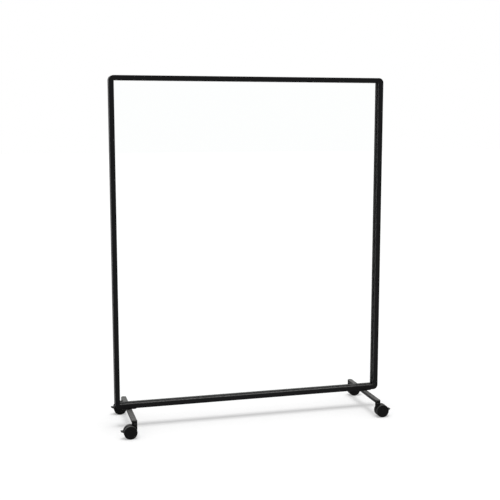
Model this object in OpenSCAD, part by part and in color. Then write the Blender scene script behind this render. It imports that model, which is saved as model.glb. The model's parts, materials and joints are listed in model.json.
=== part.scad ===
// Rolling partition: a clear panel held in a slim black frame with rounded corners.
// The frame is screwed to two cross feet, and each foot ends in two braked twin-wheel casters.
// Millimetres. X runs along the width, Y along the depth with the front at -Y, Z up from the floor.

/* [Frame] */
// Overall width of the frame
frame_w = 1500; // [1000:10:1800]
// Height of the frame alone, from its underside to its top
frame_h = 1756; // [1000:2:2000]
// Width of the frame profile, seen from the front
profile_w = 25.5; // [24.5:0.5:32]
// Depth of the frame profile, front to back
profile_d = 58; // [48:1:70]
// Wall of the hollow frame profile
profile_wall = 2; // [1.6:0.1:2.2]
// Rounding of the profile's long edges
edge_r = 1.5; // [0.5:0.1:2]
// Length of each corner connector's two tenons
tenon_len = 40; // [30:1:60]
// Distance of a corner screw from the end of its rail or stile
corner_screw_in = 20; // [12:1:25]

/* [Panel] */
// Thickness of the clear panel
panel_t = 5; // [4:0.5:6]
// How far the panel reaches into the frame
panel_bite = 9; // [6:0.5:9]
// Wall of the channel gasket between the panel and the frame
gasket_t = 1.5; // [1:0.1:2]
// How far the gasket stands out of the frame
gasket_lip = 1; // [0.5:0.1:1.5]

/* [Feet] */
// Distance of a foot's centre line from the side of the frame
foot_inset = 75; // [72:1:200]
// Length of a foot's tube, without its end sockets
foot_len = 420; // [320:1:600]
// Width of a foot's tube
foot_w = 27; // [22:0.5:30]
// Height of a foot's tube
foot_h = 16; // [15:0.5:24]
// Wall of a foot's tube
foot_wall = 1.5; // [1.2:0.1:2]
// Length of a mounting plate along the width of the frame
plate_l = 75; // [70:1:110]
// Depth of a mounting plate, front to back
plate_d = 46; // [42:1:48]
// Thickness of a mounting plate
plate_t = 5; // [4:0.5:8]
// Spacing of the plate screws along the width
plate_screw_x = 54; // [48:1:58]
// Spacing of the plate screws along the depth
plate_screw_y = 28; // [20:1:32]
// Spacing of the two bolts that hold a foot to its plate
foot_bolt_gap = 24; // [18:1:30]

/* [Casters] */
// Diameter of the wheels
wheel_d = 70; // [60:1:80]
// Width of one wheel
wheel_w = 17; // [14:0.5:20]
// Thickness of the tread ring
tyre_t = 5; // [4:0.5:7]
// Distance of the axle behind the swivel axis
trail = 22.5; // [20:0.5:28]
// Height between the top of the wheels and the foot
foot_clear = 9; // [8.5:0.5:14]
// Thickness of the housing's web between the two wheels
web_w = 12; // [11:0.5:14]
// How far the hood over the wheels stands above them
hood_proud = 1; // [0.5:0.1:2]
// Diameter of the housing's swivel boss
boss_d = 29; // [25:0.5:30]
// Diameter of the caster stem
stem_d = 10; // [8:0.5:11]
// How far the swivel axis stands past the end of the foot's tube
stem_past = 2; // [-2:0.5:4]
// Diameter of the axle
axle_d = 8; // [6:0.5:10]

/* [Brake pedals] */
// Width of the pedal's foot pad
pad_w = 26; // [20:1:36]
// Thickness of the pad at its tip
pad_t = 2.5; // [2:0.5:4]
// Thickness of the pad next to the wheels
pad_root_t = 6.5; // [5:0.5:8]
// How far the pad reaches past the wheels when it is raised
pad_reach = 14.5; // [12:0.5:20]
// Angle that the pedal turns from raised to pressed
pedal_travel = 20; // [14:1:22]
// Width of the pedal's arm between the wheels
arm_w = 6; // [5:0.5:7]
// Diameter of the pedal's pivot
pivot_d = 4; // [3:0.5:5]

/* [Fits] */
// Radial clearance of a shaft that turns in its bore
running_fit = 0.05; // [0.02:0.01:0.1]
// Clearance around a tenon or plug inside its tube
plug_fit = 0.2; // [0.1:0.05:0.3]
// Gap between a wheel and the web beside it
side_gap = 0.6; // [0.4:0.1:1]
// Gap between the tread and the pedal when it is pressed
brake_gap = 0.3; // [0.3:0.05:0.6]

/* [Hidden] */
$fn = 64;
// How far a cut or a joined shape runs past the face it meets
eps = 0.01;
over = 1;

// Heights of the main levels above the floor
wheel_r = wheel_d / 2;
axle_z = wheel_r;
foot_z = wheel_d + foot_clear;
plate_z = foot_z + foot_h;
frame_z = plate_z + plate_t;
top_z = frame_z + frame_h;

// Frame
rail_len = frame_w - 2 * profile_w;
stile_len = frame_h - 2 * profile_w;
groove_w = panel_t + 2 * gasket_t;
groove_depth = panel_bite + gasket_t;
channel_depth = groove_depth + profile_wall;
tenon_low = channel_depth + plug_fit;
tenon_high = profile_w - profile_wall - plug_fit;
tenon_mid = (tenon_low + tenon_high) / 2;
tenon_d = profile_d - 2 * profile_wall - 2 * plug_fit;
lip_w = groove_w + 2 * gasket_lip;

// What all screws share
head_chamfer = 0.6;
screw_play = 0.2;
screw_end_gap = 0.5;
drive_share = 0.5;
drive_depth = 1.2;

// Plate screws: a pan head under the mounting plate
plate_screw_r = 2.1;
plate_screw_bite = 6;
plate_screw_len = plate_t + profile_wall + plate_screw_bite;
plate_head_r = 4;
plate_head_h = 2.4;
plate_corner_r = 4;

// Corner screws: a pan head on the back of the frame, and a tip that ends behind the plate screws
corner_screw_r = 1.9;
corner_screw_len = profile_d / 2 - plate_screw_y / 2 - plate_screw_r - screw_end_gap;
corner_head_r = 3.5;
corner_head_h = 2;

// Foot bolts: their heads sit inside the tube, above an access hole
foot_bolt_len = foot_wall + plate_t - screw_end_gap;
foot_bolt_r = 3;
foot_bolt_head_r = 5.25;
foot_bolt_head_h = 3.3;
access_r = 6.5;
foot_edge_r = 1.5;

// Caster sockets
foot_x = frame_w / 2 - foot_inset;
stem_y = foot_len / 2 + stem_past;
boss_r = boss_d / 2;
stem_r = stem_d / 2;
thread_r = stem_r - 1;
plug_len = 36;
plug_boss_r = thread_r + 3;
socket_roof = 3;
socket_chamfer = 1;
stem_bore_h = foot_h - socket_roof;
socket_screw_in = 26;
socket_screw_r = 1.7;
socket_screw_len = 9;
socket_head_r = 3.2;
socket_head_h = 1.8;

// Caster stem: its thread goes up into the socket and its shoulder holds a washer under the foot
washer_t = 1.4;
washer_r = boss_r - 2.5;
washer_gap = 0.4;
cap_t = 2;
cap_r = boss_r - 2;
flange_gap = 0.3;
flange_t = 2;
flange_r = stem_r + 3;
shoulder_z = foot_z - washer_t;
boss_top_z = shoulder_z - washer_gap;
flange_top_z = boss_top_z - cap_t - flange_gap;
pocket_z = flange_top_z - flange_t - flange_gap;
journal_len = 9;
stem_low_z = pocket_z - journal_len;
stem_top_z = foot_z + stem_bore_h - screw_end_gap;

// Caster housing
hood_r = wheel_r + hood_proud;
web_inset = 3;
web_r = wheel_r - web_inset;
web_hub_rim = 2;
skirt = 10;
hood_end = 60;
boss_rise = 10;
boss_low_z = axle_z + boss_rise;
wheel_room = 1;
axle_r = axle_d / 2;

// Wheels
tyre_edge_r = 2.5;
hub_wall = 4;
hub_r = axle_r + hub_wall;
hub_disc_rim = 1;
hub_end_t = 3.2;
face_t = 3;
face_recess = 0.6;
face_groove_in = 2;
face_groove_w = 1.2;
face_groove_depth = 0.5;
core_r = wheel_r - tyre_t;
rim_t = 4;
rim_inset = 0.5;
hub_bore_depth = wheel_w - face_recess - hub_end_t;
axle_end_gap = 0.5;

// Brake pedal
arm_gap = 0.3;
slot_w = arm_w + 2 * arm_gap;
slot_back = 0.8;
pivot_r = pivot_d / 2;
pivot_inset = 10;
pivot_dist = wheel_r - pivot_inset;
pivot_angle = 18;
pivot_end_gap = 0.2;
pivot_x = trail + pivot_dist * cos(pivot_angle);
pivot_z = axle_z + pivot_dist * sin(pivot_angle);
eye_wall = 3;
eye_r = pivot_r + eye_wall;
arm_h = 4.8;
arm_past = 4;
pad_rise = 8;
pad_top_z = axle_z + pad_rise;
pad_tip_x = trail + wheel_r + pad_reach;
pad_taper = 10;
pad_corner_r = 5;
pad_ribs = 3;
rib_in = 4;
rib_pitch = 3;
rib_w = 1.2;
rib_h = 0.6;

// Each frame corner: name, side in X, side in Z
CORNERS = [
    ["top_left", -1, 1],
    ["top_right", 1, 1],
    ["bottom_left", -1, -1],
    ["bottom_right", 1, -1],
];
// Each caster: name, side in X, side in Y
CASTERS = [
    ["front_left", -1, -1],
    ["front_right", 1, -1],
    ["rear_left", -1, 1],
    ["rear_right", 1, 1],
];
// Each wheel of a caster: name, 1 away from the frame and -1 towards it
WHEELS = [["outer", 1], ["inner", -1]];
SIDES = [["left", -1], ["right", 1]];

// ---------- Shared shapes ----------

// A rectangle with round corners, from the origin to (w, d)
module round_rect(w, d, r) {
    translate([r, 0]) square([w - 2 * r, d]);
    translate([0, r]) square([w, d - 2 * r]);
    for (x = [r, w - r], y = [r, d - r]) translate([x, y]) circle(r);
}

// A drilled hole or a shank along Y, centred on the given point
module along_y(r, len) {
    rotate([90, 0, 0]) cylinder(r = r, h = len, center = true);
}

// A pan-head screw with a hex socket at the origin, pointing along -Z with its head above
module pan_screw(shank_r, len, head_r, head_h) {
    translate([0, 0, -len]) cylinder(r = shank_r, h = len + eps);
    difference() {
        union() {
            cylinder(r = head_r, h = head_h - head_chamfer);
            translate([0, 0, head_h - head_chamfer])
                cylinder(r1 = head_r, r2 = head_r - head_chamfer, h = head_chamfer);
        }
        translate([0, 0, head_h - drive_depth])
            cylinder(r = head_r * drive_share, h = drive_depth + over, $fn = 6);
    }
}

// ---------- Frame ----------

// The profile's section: X runs from the outer edge of the frame to the panel, Y is the depth
module profile_section() {
    difference() {
        translate([0, -profile_d / 2]) round_rect(profile_w, profile_d, edge_r);
        difference() {
            translate([profile_wall, profile_wall - profile_d / 2])
                square([profile_w - 2 * profile_wall, profile_d - 2 * profile_wall]);
            translate([profile_w - channel_depth, -groove_w / 2 - profile_wall])
                square([channel_depth, groove_w + 2 * profile_wall]);
        }
        translate([profile_w - groove_depth, -groove_w / 2]) square([groove_depth + over, groove_w]);
    }
}

// Clearance holes through the back wall for a rail's or a stile's two corner screws
module corner_screw_holes(length) {
    for (at = [corner_screw_in, length - corner_screw_in])
        translate([profile_w - tenon_mid, profile_d / 2, at])
            along_y(corner_screw_r + screw_play, 3 * profile_wall);
}

// A length of profile standing on the origin, with its outer edge along Z
module profile_bar(length) {
    difference() {
        linear_extrude(length) profile_section();
        corner_screw_holes(length);
    }
}

module top_rail() {
    color("#1b1b1d") translate([-rail_len / 2, 0, top_z]) rotate([0, 90, 0]) profile_bar(rail_len);
}

module bottom_rail() {
    color("#1b1b1d") difference() {
        translate([-rail_len / 2, 0, frame_z]) mirror([0, 0, 1]) rotate([0, 90, 0])
            profile_bar(rail_len);
        plate_screw_shanks(screw_play);
    }
}

module stile(side) {
    color("#1b1b1d") scale([side < 0 ? 1 : -1, 1, 1])
        translate([-frame_w / 2, 0, frame_z + profile_w]) profile_bar(stile_len);
}

// The section of a corner: X is the distance from the frame's inner corner
module corner_section() {
    translate([0, -profile_d / 2]) {
        square([profile_w - edge_r, profile_d]);
        translate([0, edge_r]) square([profile_w, profile_d - 2 * edge_r]);
        for (y = [edge_r, profile_d - edge_r]) translate([profile_w - edge_r, y]) circle(edge_r);
    }
}

// A top right corner with the frame's inner corner at the origin
module corner_body() {
    tenon_t = tenon_high - tenon_low;
    difference() {
        union() {
            rotate([90, 0, 0]) rotate_extrude(angle = 90) corner_section();
            translate([-tenon_len, -tenon_d / 2, tenon_low]) cube([tenon_len + over, tenon_d, tenon_t]);
            translate([tenon_low, -tenon_d / 2, -tenon_len]) cube([tenon_t, tenon_d, tenon_len + over]);
        }
        translate([-over, -groove_w / 2, -over])
            cube([groove_depth + over, groove_w, groove_depth + over]);
        for (at = [[-corner_screw_in, tenon_mid], [tenon_mid, -corner_screw_in]])
            translate([at[0], tenon_d / 2, at[1]]) along_y(corner_screw_r, 2 * corner_screw_len);
    }
}

module corner(side_x, side_z) {
    color("#161617") difference() {
        translate([side_x * rail_len / 2, 0, frame_z + profile_w + (side_z > 0 ? stile_len : 0)])
            scale([side_x, 1, side_z]) corner_body();
        plate_screw_shanks(0);
    }
}

// Two pan-head screws at each corner of the frame, driven from the back
module corner_screws() {
    spots = [[-corner_screw_in, tenon_mid], [tenon_mid, -corner_screw_in]];
    color("#3a3a3c") for (c = CORNERS, at = spots) {
        x = c[1] * (rail_len / 2 + at[0]);
        z = frame_z + frame_h / 2 + c[2] * (stile_len / 2 + at[1]);
        translate([x, profile_d / 2, z]) rotate([-90, 0, 0])
            pan_screw(corner_screw_r, corner_screw_len, corner_head_r, corner_head_h);
    }
}

// ---------- Panel and gaskets ----------

module clear_panel() {
    w = rail_len + 2 * panel_bite;
    h = stile_len + 2 * panel_bite;
    color("#dfe8ea", 0.25) translate([-w / 2, -panel_t / 2, frame_z + frame_h / 2 - h / 2])
        cube([w, panel_t, h]);
}

// A channel gasket along X, with its back on the groove's floor at the origin and its mouth upward
module gasket_bar(groove_len, lip_len) {
    difference() {
        union() {
            translate([-groove_len / 2, -groove_w / 2, 0]) cube([groove_len, groove_w, groove_depth]);
            translate([-lip_len / 2, -lip_w / 2, groove_depth]) cube([lip_len, lip_w, gasket_lip]);
        }
        translate([-groove_len, -panel_t / 2, gasket_t]) cube([2 * groove_len, panel_t, 2 * groove_depth]);
    }
}

// The top and bottom gaskets run into the corners, and the side gaskets stand between their lips
module rail_gasket(side_z) {
    color("#0c0c0d") translate([0, 0, frame_z + frame_h / 2]) scale([1, 1, -side_z])
        translate([0, 0, -stile_len / 2 - groove_depth])
            gasket_bar(rail_len + 2 * groove_depth, rail_len);
}

module stile_gasket(side_x) {
    len = stile_len - 2 * gasket_lip;
    color("#0c0c0d") translate([0, 0, frame_z + frame_h / 2]) rotate([0, -side_x * 90, 0])
        translate([0, 0, -rail_len / 2 - groove_depth]) gasket_bar(len, len);
}

// ---------- Feet ----------

// Shanks of the screws that hold the mounting plates to the frame, grown by play
module plate_screw_shanks(play) {
    for (s = SIDES, x = [-1, 1], y = [-1, 1])
        translate([s[1] * foot_x + x * plate_screw_x / 2, y * plate_screw_y / 2, plate_z - eps])
            cylinder(r = plate_screw_r + play, h = plate_screw_len + 2 * eps);
}

module mounting_plate(side) {
    color("#1b1b1d") difference() {
        translate([side * foot_x - plate_l / 2, -plate_d / 2, plate_z])
            linear_extrude(plate_t) round_rect(plate_l, plate_d, plate_corner_r);
        plate_screw_shanks(screw_play);
        for (y = [-1, 1]) translate([side * foot_x, y * foot_bolt_gap / 2, plate_z - over])
            cylinder(r = foot_bolt_r, h = plate_t + 2 * over);
    }
}

module plate_screws() {
    color("#3a3a3c") for (s = SIDES, x = [-1, 1], y = [-1, 1])
        translate([s[1] * foot_x + x * plate_screw_x / 2, y * plate_screw_y / 2, plate_z])
            mirror([0, 0, 1]) pan_screw(plate_screw_r, plate_screw_len, plate_head_r, plate_head_h);
}

// Bolts through the top wall of each foot's tube into the mounting plate
module foot_bolts() {
    top_wall_z = plate_z - foot_wall;
    color("#3a3a3c") for (s = SIDES, y = [-1, 1])
        translate([s[1] * foot_x, y * foot_bolt_gap / 2, top_wall_z])
            mirror([0, 0, 1])
                pan_screw(foot_bolt_r, foot_bolt_len, foot_bolt_head_r, foot_bolt_head_h);
}

// Puts a caster's parts at its swivel axis. The left casters trail to the left.
module at_caster(side_x, side_y) {
    translate([side_x * foot_x, side_y * stem_y, 0]) rotate([0, 0, side_x > 0 ? 0 : 180]) children();
}

// A foot's tube section: X is its width and Y its height
module foot_section() {
    difference() {
        translate([-foot_w / 2, 0]) round_rect(foot_w, foot_h, foot_edge_r);
        translate([foot_wall - foot_w / 2, foot_wall])
            square([foot_w - 2 * foot_wall, foot_h - 2 * foot_wall]);
    }
}

module foot(side) {
    color("#2a2a2c") difference() {
        translate([side * foot_x, foot_len / 2, foot_z]) rotate([90, 0, 0])
            linear_extrude(foot_len) foot_section();
        translate([side * foot_x, 0, 0]) for (y = [-1, 1]) {
            translate([0, y * foot_bolt_gap / 2, plate_z - 2 * foot_wall])
                cylinder(r = foot_bolt_r + screw_play, h = 3 * foot_wall);
            translate([0, y * foot_bolt_gap / 2, foot_z - foot_wall])
                cylinder(r = access_r, h = 3 * foot_wall);
            translate([0, y * stem_y, foot_z - foot_wall])
                cylinder(r = plug_boss_r + plug_fit, h = 2 * foot_wall + eps);
            translate([0, y * (foot_len / 2 - socket_screw_in), foot_z - foot_wall])
                cylinder(r = socket_screw_r + screw_play, h = 3 * foot_wall);
        }
    }
}

// ---------- Caster sockets ----------

// A moulded plug in the end of a foot, with a round head that carries the caster's stem
module caster_socket(side_x, side_y) {
    plug_w = foot_w - 2 * foot_wall - 2 * plug_fit;
    plug_h = foot_h - 2 * foot_wall - 2 * plug_fit;
    plug_z = foot_z + foot_wall + plug_fit;
    end_y = side_y * foot_len / 2;
    color("#141415") difference() {
        union() {
            intersection() {
                translate([side_x * foot_x, side_y * stem_y, foot_z]) {
                    cylinder(r = boss_r, h = foot_h - socket_chamfer);
                    translate([0, 0, foot_h - socket_chamfer])
                        cylinder(r1 = boss_r, r2 = boss_r - socket_chamfer, h = socket_chamfer);
                }
                translate([side_x * foot_x - boss_d, side_y > 0 ? end_y : end_y - boss_d, foot_z])
                    cube([2 * boss_d, boss_d, foot_h]);
            }
            translate([side_x * foot_x - plug_w / 2, end_y - (side_y > 0 ? plug_len : over), plug_z])
                cube([plug_w, plug_len + over, plug_h]);
            translate([side_x * foot_x, side_y * stem_y, foot_z]) cylinder(r = plug_boss_r, h = foot_h / 2);
        }
        translate([side_x * foot_x, side_y * stem_y, foot_z - over])
            cylinder(r = thread_r, h = stem_bore_h + over);
        translate([side_x * foot_x, end_y - side_y * socket_screw_in, foot_z - over])
            cylinder(r = socket_screw_r, h = socket_screw_len + over);
    }
}

// One small screw under each end of the feet, which keeps the socket in its tube
module socket_screws() {
    color("#3a3a3c") for (c = CASTERS)
        translate([c[1] * foot_x, c[2] * (foot_len / 2 - socket_screw_in), foot_z])
            mirror([0, 0, 1])
                pan_screw(socket_screw_r, socket_screw_len - screw_end_gap, socket_head_r, socket_head_h);
}

// ---------- Casters ----------
// Each caster is drawn with its swivel axis at the origin and its wheels trailing towards +X.

// The stem: a threaded shank up to the socket and a thicker journal with a flange below
module caster_stem() {
    translate([0, 0, stem_low_z]) cylinder(r = thread_r, h = stem_top_z - stem_low_z);
    translate([0, 0, stem_low_z]) cylinder(r = stem_r, h = shoulder_z - stem_low_z);
    translate([0, 0, flange_top_z - flange_t]) cylinder(r = flange_r, h = flange_t);
}

module caster_stems() {
    color("#8a8a8c") for (c = CASTERS) at_caster(c[1], c[2]) caster_stem();
}

// The washers between the foot ends and the shoulders of the stems
module stem_washers() {
    color("#8a8a8c") for (c = CASTERS) at_caster(c[1], c[2]) translate([0, 0, shoulder_z]) difference() {
        cylinder(r = washer_r, h = washer_t);
        translate([0, 0, -over]) cylinder(r = thread_r + screw_play, h = washer_t + 2 * over);
    }
}

// Side view of the web between the wheels: X is the distance behind the swivel axis, Y is the height
module web_outline() {
    difference() {
        translate([trail, axle_z]) {
            circle(web_r);
            difference() {
                circle(hood_r);
                rotate(hood_end) translate([-2 * hood_r, -4 * hood_r]) square([4 * hood_r, 4 * hood_r]);
            }
        }
        translate([trail - 2 * hood_r, axle_z - skirt - 4 * hood_r]) square([4 * hood_r, 4 * hood_r]);
    }
    translate([trail, axle_z]) circle(hub_r + web_hub_rim);
}

module caster_housing() {
    room_w = boss_d;
    color("#151516") difference() {
        union() {
            rotate([90, 0, 0]) linear_extrude(web_w, center = true) web_outline();
            difference() {
                translate([0, 0, boss_low_z]) cylinder(r = boss_r, h = boss_top_z - boss_low_z);
                for (s = [-1, 1]) translate([trail, s * (web_w + room_w) / 2, axle_z])
                    along_y(wheel_r + wheel_room, room_w);
            }
        }
        translate([trail, 0, axle_z]) along_y(axle_r, 2 * web_w);
        translate([0, 0, stem_low_z - screw_end_gap]) cylinder(r = stem_r + running_fit, h = wheel_d);
        translate([0, 0, pocket_z]) cylinder(r = flange_r + flange_gap, h = wheel_d);
        translate([0, 0, boss_top_z - cap_t]) cylinder(r = cap_r, h = wheel_d);
        translate([pivot_x - eye_r - slot_back, -slot_w / 2, 0]) cube([wheel_d, slot_w, 2 * wheel_d]);
        translate([pivot_x, 0, pivot_z]) along_y(pivot_r + running_fit, 2 * web_w);
    }
}

// The pressed-in ring that keeps the stem's flange in the boss
module swivel_cap() {
    color("#6e6e70") translate([0, 0, boss_top_z - cap_t]) difference() {
        cylinder(r = cap_r, h = cap_t);
        translate([0, 0, -over]) cylinder(r = stem_r + flange_gap, h = cap_t + 2 * over);
    }
}

module caster_axle() {
    half = web_w / 2 + side_gap + hub_bore_depth - axle_end_gap;
    color("#8a8a8c") translate([trail, 0, axle_z]) along_y(axle_r, 2 * half);
}

// Places a wheel's shapes, drawn from its inner face along +Z, on its side of the web
module at_wheel(side) {
    translate([trail, side * (web_w / 2 + side_gap), axle_z]) rotate([-side * 90, 0, 0]) children();
}

// The moulded wheel: rim, closed outer face and a hub with a blind bore
module wheel_core() {
    face_z = wheel_w - face_recess;
    color("#1a1a1c") rotate_extrude() difference() {
        union() {
            translate([core_r - rim_t, rim_inset]) square([rim_t, face_z - rim_inset]);
            translate([0, face_z - face_t]) square([core_r, face_t]);
            square([hub_r, face_z]);
            translate([0, face_z - eps]) square([hub_r + hub_disc_rim, face_recess]);
        }
        square([axle_r + running_fit, hub_bore_depth]);
        translate([core_r - rim_t - face_groove_in, face_z - face_groove_depth])
            square([face_groove_w, face_t]);
    }
}

// The tread ring around a wheel, with a rounded outer edge
module tread() {
    color("#101011") rotate_extrude() translate([core_r, 0]) {
        square([tyre_t, wheel_w - tyre_edge_r]);
        square([tyre_t - tyre_edge_r, wheel_w]);
        translate([tyre_t - tyre_edge_r, wheel_w - tyre_edge_r]) circle(tyre_edge_r);
    }
}

// ---------- Brake pedals ----------

// Turns what belongs to the pressed pedal up to the raised one
module raised() {
    translate([pivot_x, 0, pivot_z]) rotate([0, -pedal_travel, 0])
        translate([-pivot_x, 0, -pivot_z]) children();
}

// What is cut off below the raised pad, so that its underside rises towards the tip
module pad_undercut() {
    rise = (pad_root_t - pad_t) / pad_taper;
    translate([pad_tip_x - pad_taper, 0, pad_top_z - pad_root_t]) rotate([90, 0, 0])
        linear_extrude(2 * pad_w, center = true)
            polygon([[0, 0], [2 * pad_taper, 2 * pad_taper * rise], [2 * pad_taper, -over], [0, -over]]);
}

// The raised pedal: an eye on the pivot, an arm and a pad that meets the treads when it is pressed
module brake_pedal() {
    arm_x = trail + wheel_r + arm_past - pivot_x;
    arm_z = pad_top_z - pad_root_t / 2 - pivot_z;
    color("#1c1c1e") {
        translate([pivot_x, 0, pivot_z]) {
            // Turned half round, which keeps the cylinders' seam lines clear of the arm
            rotate([0, 180, 0]) {
                along_y(eye_r, arm_w);
                along_y(pivot_r, web_w - 2 * pivot_end_gap);
            }
            rotate([0, -atan2(arm_z, arm_x), 0]) translate([0, -arm_w / 2, -arm_h / 2])
                cube([norm([arm_x, arm_z]), arm_w, arm_h]);
        }
        difference() {
            translate([trail, -pad_w / 2, pad_top_z - pad_root_t])
                linear_extrude(pad_root_t) round_rect(pad_tip_x - trail, pad_w, pad_corner_r);
            pad_undercut();
            raised() translate([trail, 0, axle_z]) along_y(wheel_r + brake_gap, 2 * pad_w);
        }
        for (i = [0:pad_ribs - 1])
            translate([pad_tip_x - rib_in - rib_pitch * i, -pad_w / 2 + pad_corner_r, pad_top_z - eps])
                cube([rib_w, pad_w - 2 * pad_corner_r, rib_h]);
    }
}

// ---------- Parts ----------

top_rail();
bottom_rail();
stile(-1);  // left_stile
stile(1);  // right_stile
for (c = CORNERS) corner(c[1], c[2]);
corner_screws();
clear_panel();
rail_gasket(1);  // top_gasket
rail_gasket(-1);  // bottom_gasket
stile_gasket(-1);  // left_gasket
stile_gasket(1);  // right_gasket
mounting_plate(-1);  // left_mounting_plate
mounting_plate(1);  // right_mounting_plate
plate_screws();
foot_bolts();
foot(-1);  // left_foot
foot(1);  // right_foot
for (c = CASTERS) caster_socket(c[1], c[2]);
socket_screws();
caster_stems();
stem_washers();
for (c = CASTERS) {
    at_caster(c[1], c[2]) caster_housing();
    at_caster(c[1], c[2]) swivel_cap();
    at_caster(c[1], c[2]) caster_axle();
    at_caster(c[1], c[2]) brake_pedal();
}
for (c = CASTERS, w = WHEELS) {
    side = w[1] * c[1] * c[2];
    label = str(c[0], "_", w[0]);
    at_caster(c[1], c[2]) at_wheel(side) wheel_core();
    at_caster(c[1], c[2]) at_wheel(side) tread();
}
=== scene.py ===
import json
import math

import bpy
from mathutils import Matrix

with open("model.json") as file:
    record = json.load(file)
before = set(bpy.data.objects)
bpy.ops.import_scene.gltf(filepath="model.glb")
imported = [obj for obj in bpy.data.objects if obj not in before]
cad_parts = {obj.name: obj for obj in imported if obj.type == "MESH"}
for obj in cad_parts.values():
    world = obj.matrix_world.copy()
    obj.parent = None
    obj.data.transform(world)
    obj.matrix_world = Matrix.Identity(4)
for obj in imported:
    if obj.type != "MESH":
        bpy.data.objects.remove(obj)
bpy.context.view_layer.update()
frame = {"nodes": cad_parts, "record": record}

# ---------- Camera, as solved from the photograph's edges ----------

IMAGE_PX = 500
FOCAL_PX = 934.4
SENSOR_MM = 36.0
FARTHEST_SEEN = 200.0
CAMERA_AT = (-1.3095, -4.8603, 1.6358)
CAMERA_YAW = 15.076
CAMERA_PITCH = 7.997


def make_camera():
    """The camera at the photograph's viewing angle, with a square frame and no shift."""
    data = bpy.data.cameras.new("camera")
    data.sensor_width = SENSOR_MM
    data.lens = SENSOR_MM * FOCAL_PX / IMAGE_PX
    data.clip_end = FARTHEST_SEEN
    camera = bpy.data.objects.new("camera", data)
    camera.location = CAMERA_AT
    camera.rotation_euler = (math.radians(90.0 - CAMERA_PITCH), 0.0, math.radians(-CAMERA_YAW))
    bpy.context.scene.collection.objects.link(camera)
    bpy.context.scene.camera = camera


# ---------- Shader helpers ----------

# Scales of the noise patterns, in features a metre, and the span that most noise values lie in.
BROAD_SCALE = 14.0
DUST_AND_TOP_LIGHT_SCALE = 90.0
WEAR_SCALE = 140.0
TREAD_SCALE = 220.0
NOISE_LOW = 0.3
NOISE_HIGH = 0.7

# The radius in metres that edges are softened by, and how alike the softened and the true normal
# are at a worn edge and beside it.
EDGE_ROUNDING = 0.0007
EDGE_ALIKE = 0.78
FLAT_ALIKE = 0.97

# Dust and painted top light lie where the normal's upward part is above the first value, and are full at
# the second.
# The lighter grey on faces that look up stands in for the lamp above as well as for a dusting.
DUST_AND_TOP_LIGHT_STARTS = 0.35
DUST_AND_TOP_LIGHT_FULL = 1.0
DUST_AND_TOP_LIGHT_COLOUR = (0.34, 0.335, 0.325, 1.0)

# The sideways part of the normal on a tread's running surface and on its sides.
TREAD_ROUND = 0.3
TREAD_SIDE = 0.85

FINE_ROUGHNESS = 0.06
BROAD_ROUGHNESS = 0.03
GRAIN_STRENGTH = 0.6


def add(tree, kind, links=None, **settings):
    """A new shader node. links gives each input a value or an output to take it from."""
    made = tree.nodes.new(kind)
    for name, value in settings.items():
        setattr(made, name, value)
    for name, value in (links or {}).items():
        if isinstance(value, bpy.types.NodeSocket):
            tree.links.new(value, made.inputs[name])
        else:
            made.inputs[name].default_value = value
    return made


def math_node(tree, operation, first, second=0.0):
    """The output of a Math node."""
    return add(tree, "ShaderNodeMath", {0: first, 1: second}, operation=operation).outputs[0]


def ranged(tree, value, low, high, out_low, out_high):
    """value moved from low..high to out_low..out_high and held there."""
    links = {"Value": value, "From Min": low, "From Max": high, "To Min": out_low, "To Max": out_high}
    return add(tree, "ShaderNodeMapRange", links).outputs["Result"]


def noise(tree, place, scale, detail):
    """A noise texture's value, with scale in features a metre."""
    links = {"Vector": place, "Scale": scale, "Detail": detail}
    return add(tree, "ShaderNodeTexNoise", links).outputs["Fac"]


def mixed(tree, share, first, second):
    """The first colour with a share of the second. A Mix node's colours are inputs 6 and 7."""
    return add(tree, "ShaderNodeMix", {0: share, 6: first, 7: second}, data_type="RGBA").outputs[2]


def grey(level, tint=0.0):
    """A neutral colour, a little bluer with tint."""
    return (level, level, level * (1.0 + tint), 1.0)


def edge_mask(tree, soft, place):
    """1 on edges, where the softened normal differs, and 0 on flat ground, broken up by noise."""
    sharp = add(tree, "ShaderNodeNewGeometry").outputs["Normal"]
    dot = add(tree, "ShaderNodeVectorMath", {0: soft, 1: sharp}, operation="DOT_PRODUCT")
    edge = ranged(tree, dot.outputs["Value"], EDGE_ALIKE, FLAT_ALIKE, 1.0, 0.0)
    patch = ranged(tree, noise(tree, place, WEAR_SCALE, 4.0), 0.42, 0.62, 0.0, 1.0)
    return math_node(tree, "MULTIPLY", edge, patch)


def dust_and_top_light_mask(tree, place, amount):
    """Fine dusting on what faces up, thicker in soft patches, with painted top light: the same lighter grey
    stands in for the lamp above lighting faces that look up.
    """
    normal = add(tree, "ShaderNodeNewGeometry").outputs["Normal"]
    up = add(tree, "ShaderNodeSeparateXYZ", {0: normal}).outputs["Z"]
    faces_up = ranged(tree, up, DUST_AND_TOP_LIGHT_STARTS, DUST_AND_TOP_LIGHT_FULL, 0.0, 1.0)
    patch = ranged(tree, noise(tree, place, DUST_AND_TOP_LIGHT_SCALE, 9.0), 0.35, 0.7, 0.5, 1.0)
    return math_node(tree, "MULTIPLY", math_node(tree, "MULTIPLY", faces_up, patch), amount)


def tread_mask(tree, place):
    """1 on the running surface of a wheel whose axle lies along Y, broken up by noise, 0 on its sides."""
    normal = add(tree, "ShaderNodeTexCoord").outputs["Normal"]
    across = add(tree, "ShaderNodeSeparateXYZ", {0: normal}).outputs["Y"]
    runs = ranged(tree, math_node(tree, "ABSOLUTE", across), TREAD_ROUND, TREAD_SIDE, 1.0, 0.0)
    patch = ranged(tree, noise(tree, place, TREAD_SCALE, 4.0), NOISE_LOW, NOISE_HIGH, 0.7, 1.0)
    return math_node(tree, "MULTIPLY", runs, patch)


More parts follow.
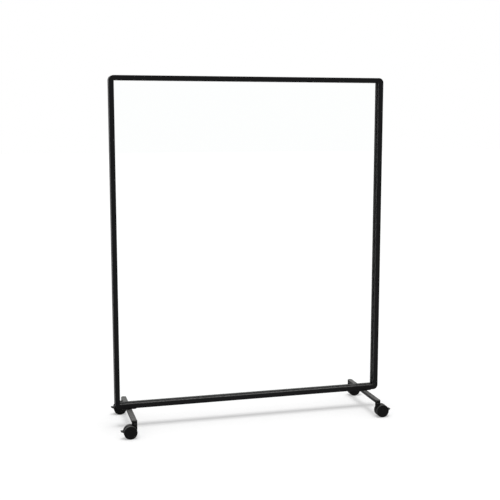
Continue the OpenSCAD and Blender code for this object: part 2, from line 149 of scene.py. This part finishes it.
def surface(
    name, level, rough, gloss, grain, depth,
    mottle=0.12, wear=0.0, dust_and_top_light=0.0, tread=0.0, metal=0.0, tint=0.0,
):
    """A procedural finish.

    level is the colour's grey, rough the mean roughness, gloss the specular level, grain the scale
    of the fine texture in features a metre and depth its height in metres. mottle is the share that
    the colour changes by over some centimetres, wear the grey of rubbed edges, the argument after
    wear the amount of dusting and of painted top light, a lighter grey on faces that look up that
    stands in for the lamp above, tread the grey of a wheel's running surface, metal the metallic
    share and tint how much bluer the colour is than a neutral grey.
    """
    material = bpy.data.materials.new(name)
    material.use_nodes = True
    tree = material.node_tree
    shader = tree.nodes["Principled BSDF"]
    place = add(tree, "ShaderNodeTexCoord").outputs["Object"]
    soft = add(tree, "ShaderNodeBevel", {"Radius": EDGE_ROUNDING}, samples=6).outputs["Normal"]

    broad = noise(tree, place, BROAD_SCALE, 4.0)
    fine = noise(tree, place, grain, 3.0)
    colour = mixed(
        tree,
        ranged(tree, broad, NOISE_LOW, NOISE_HIGH, 0.0, 1.0),
        grey(level * (1.0 - mottle), tint),
        grey(level * (1.0 + mottle), tint),
    )
    if wear:
        colour = mixed(tree, edge_mask(tree, soft, place), colour, grey(wear, tint))
    if tread:
        colour = mixed(tree, tread_mask(tree, place), colour, grey(tread, tint))
    # Dusting and painted top light: a lighter grey on faces that look up, standing in for the lamp above as
    # well as for a dusting.
    if dust_and_top_light:
        colour = mixed(tree, dust_and_top_light_mask(tree, place, dust_and_top_light), colour, DUST_AND_TOP_LIGHT_COLOUR)
    tree.links.new(colour, shader.inputs["Base Color"])

    smooth, coarse = rough - FINE_ROUGHNESS, rough + FINE_ROUGHNESS
    speck = ranged(tree, fine, NOISE_LOW, NOISE_HIGH, smooth, coarse)
    drift = ranged(tree, broad, NOISE_LOW, NOISE_HIGH, -BROAD_ROUGHNESS, BROAD_ROUGHNESS)
    tree.links.new(math_node(tree, "ADD", speck, drift), shader.inputs["Roughness"])
    shader.inputs["Specular IOR Level"].default_value = gloss
    shader.inputs["Metallic"].default_value = metal

    relief = {"Strength": GRAIN_STRENGTH, "Distance": depth, "Height": fine, "Normal": soft}
    bump = add(tree, "ShaderNodeBump", relief)
    tree.links.new(bump.outputs["Normal"], shader.inputs["Normal"])
    return material


ACRYLIC_COLOUR = (0.985, 0.995, 0.992, 1.0)
ACRYLIC_IOR = 1.49
SCUFF_SCALE = 60.0
SCUFF_ROUGHNESS = 0.03
WAVE_SCALE = 3.0
WAVE_STRENGTH = 0.4
WAVE_HEIGHT = 0.0004


def clear_acrylic(name):
    """A clear sheet with the faint waviness and hairline scuffs of cast acrylic."""
    material = bpy.data.materials.new(name)
    material.use_nodes = True
    tree = material.node_tree
    shader = tree.nodes["Principled BSDF"]
    place = add(tree, "ShaderNodeTexCoord").outputs["Object"]
    shader.inputs["Base Color"].default_value = ACRYLIC_COLOUR
    shader.inputs["Transmission Weight"].default_value = 1.0
    shader.inputs["IOR"].default_value = ACRYLIC_IOR
    scuff = ranged(tree, noise(tree, place, SCUFF_SCALE, 6.0), 0.55, 0.8, 0.0, SCUFF_ROUGHNESS)
    tree.links.new(scuff, shader.inputs["Roughness"])
    wave = noise(tree, place, WAVE_SCALE, 1.0)
    bump = add(tree, "ShaderNodeBump", {"Strength": WAVE_STRENGTH, "Distance": WAVE_HEIGHT, "Height": wave})
    tree.links.new(bump.outputs["Normal"], shader.inputs["Normal"])
    return material


# ---------- Materials of the carried-over nodes ----------

# Each finish's dusting amount also sets its painted top light, the lighter grey that the lamp above would
# give its up-facing faces.
FINISHES = {
    "frame_profile": surface(
        "black_powder_coat",
        level=0.008, rough=0.5, gloss=0.08, grain=650.0, depth=0.00009, wear=0.03, dust_and_top_light=0.17,
        tint=0.06,
    ),
    "corner_plastic": surface(
        "corner_moulding",
        level=0.008, rough=0.5, gloss=0.08, grain=1500.0, depth=0.00005, wear=0.025, dust_and_top_light=0.14,
    ),
    "panel_acrylic": clear_acrylic("clear_acrylic"),
    "gasket_rubber": surface(
        "gasket_rubber",
        level=0.006, rough=0.6, gloss=0.06, grain=900.0, depth=0.00006, mottle=0.2,
    ),
    "foot_paint": surface(
        "foot_paint",
        level=0.014, rough=0.45, gloss=0.06, grain=750.0, depth=0.00009, wear=0.08, dust_and_top_light=0.48,
        tint=0.02,
    ),
    "caster_plastic": surface(
        "caster_moulding",
        level=0.006, rough=0.58, gloss=0.07, grain=1600.0, depth=0.00005, wear=0.03, dust_and_top_light=0.24,
    ),
    "tread_rubber": surface(
        "tread_rubber",
        level=0.007, rough=0.62, gloss=0.07, grain=800.0, depth=0.00012, mottle=0.3, dust_and_top_light=0.28,
        tread=0.045,
    ),
    "fastener_steel": surface(
        "blackened_steel",
        level=0.06, rough=0.38, gloss=0.5, grain=1800.0, depth=0.00001, wear=0.2, metal=1.0,
    ),
    "bearing_steel": surface(
        "zinc_steel",
        level=0.5, rough=0.32, gloss=0.5, grain=1500.0, depth=0.00001, mottle=0.08, metal=1.0,
        tint=0.04,
    ),
}


def dress_frame():
    """Gives every CAD node the finish of its material slot. The clear panel casts no shadow."""
    for part in frame["record"]["subparts"]:
        mesh = frame["nodes"][part["node"]].data
        mesh.materials.clear()
        mesh.materials.append(FINISHES[part["material_slot"]])
    panel = frame["nodes"]["clear_panel"]
    panel.visible_shadow = False
    panel.visible_diffuse = False


# ---------- Floor and light ----------

FLOOR_HALF = 40.0
FLOOR_ALBEDO = 0.72
FLOOR_GLOW = 0.34


def seen_ray(tree):
    """1 for a ray that shows the background: from the camera, in a reflection or through the panel."""
    path = add(tree, "ShaderNodeLightPath").outputs
    total = math_node(tree, "ADD", path["Is Camera Ray"], path["Is Glossy Ray"])
    total = math_node(tree, "ADD", total, path["Is Transmission Ray"])
    return math_node(tree, "MINIMUM", total, 1.0)


def make_floor():
    """A plain white floor that keeps the object's shadow."""
    mesh = bpy.data.meshes.new("floor")
    corners = [(x * FLOOR_HALF, y * FLOOR_HALF, 0.0) for x, y in ((-1, -1), (1, -1), (1, 1), (-1, 1))]
    mesh.from_pydata(corners, [], [(0, 1, 2, 3)])
    floor = bpy.data.objects.new("floor", mesh)
    bpy.context.scene.collection.objects.link(floor)
    material = bpy.data.materials.new("floor_white")
    material.use_nodes = True
    tree = material.node_tree
    tree.nodes.clear()
    matt = add(tree, "ShaderNodeBsdfDiffuse", {"Color": grey(FLOOR_ALBEDO)})
    glow_strength = math_node(tree, "MULTIPLY", seen_ray(tree), FLOOR_GLOW)
    glow = add(tree, "ShaderNodeEmission", {"Color": grey(1.0), "Strength": glow_strength})
    both = add(tree, "ShaderNodeAddShader", {0: matt.outputs[0], 1: glow.outputs[0]})
    add(tree, "ShaderNodeOutputMaterial", {"Surface": both.outputs[0]})
    mesh.materials.append(material)


SKY_LIGHT = 0.5
KEY_LIGHT = 0.51
KEY_DEG = 30.0
KEY_HEIGHT = 4.0


def make_light():
    """A white background, an even sky and one broad lamp straight above."""
    world = bpy.data.worlds.new("studio")
    bpy.context.scene.world = world
    world.use_nodes = True
    tree = world.node_tree
    tree.nodes.clear()
    level = ranged(tree, seen_ray(tree), 0.0, 1.0, SKY_LIGHT, 1.0)
    back = add(tree, "ShaderNodeBackground", {"Color": grey(1.0), "Strength": level})
    add(tree, "ShaderNodeOutputWorld", {"Surface": back.outputs[0]})

    lamp = bpy.data.lights.new("key", "SUN")
    lamp.energy = math.pi * KEY_LIGHT
    lamp.angle = math.radians(KEY_DEG)
    holder = bpy.data.objects.new("key", lamp)
    holder.location = (0.0, 0.0, KEY_HEIGHT)
    bpy.context.scene.collection.objects.link(holder)


make_camera()
dress_frame()
make_floor()
make_light()
bpy.context.scene.view_settings.view_transform = "Standard"
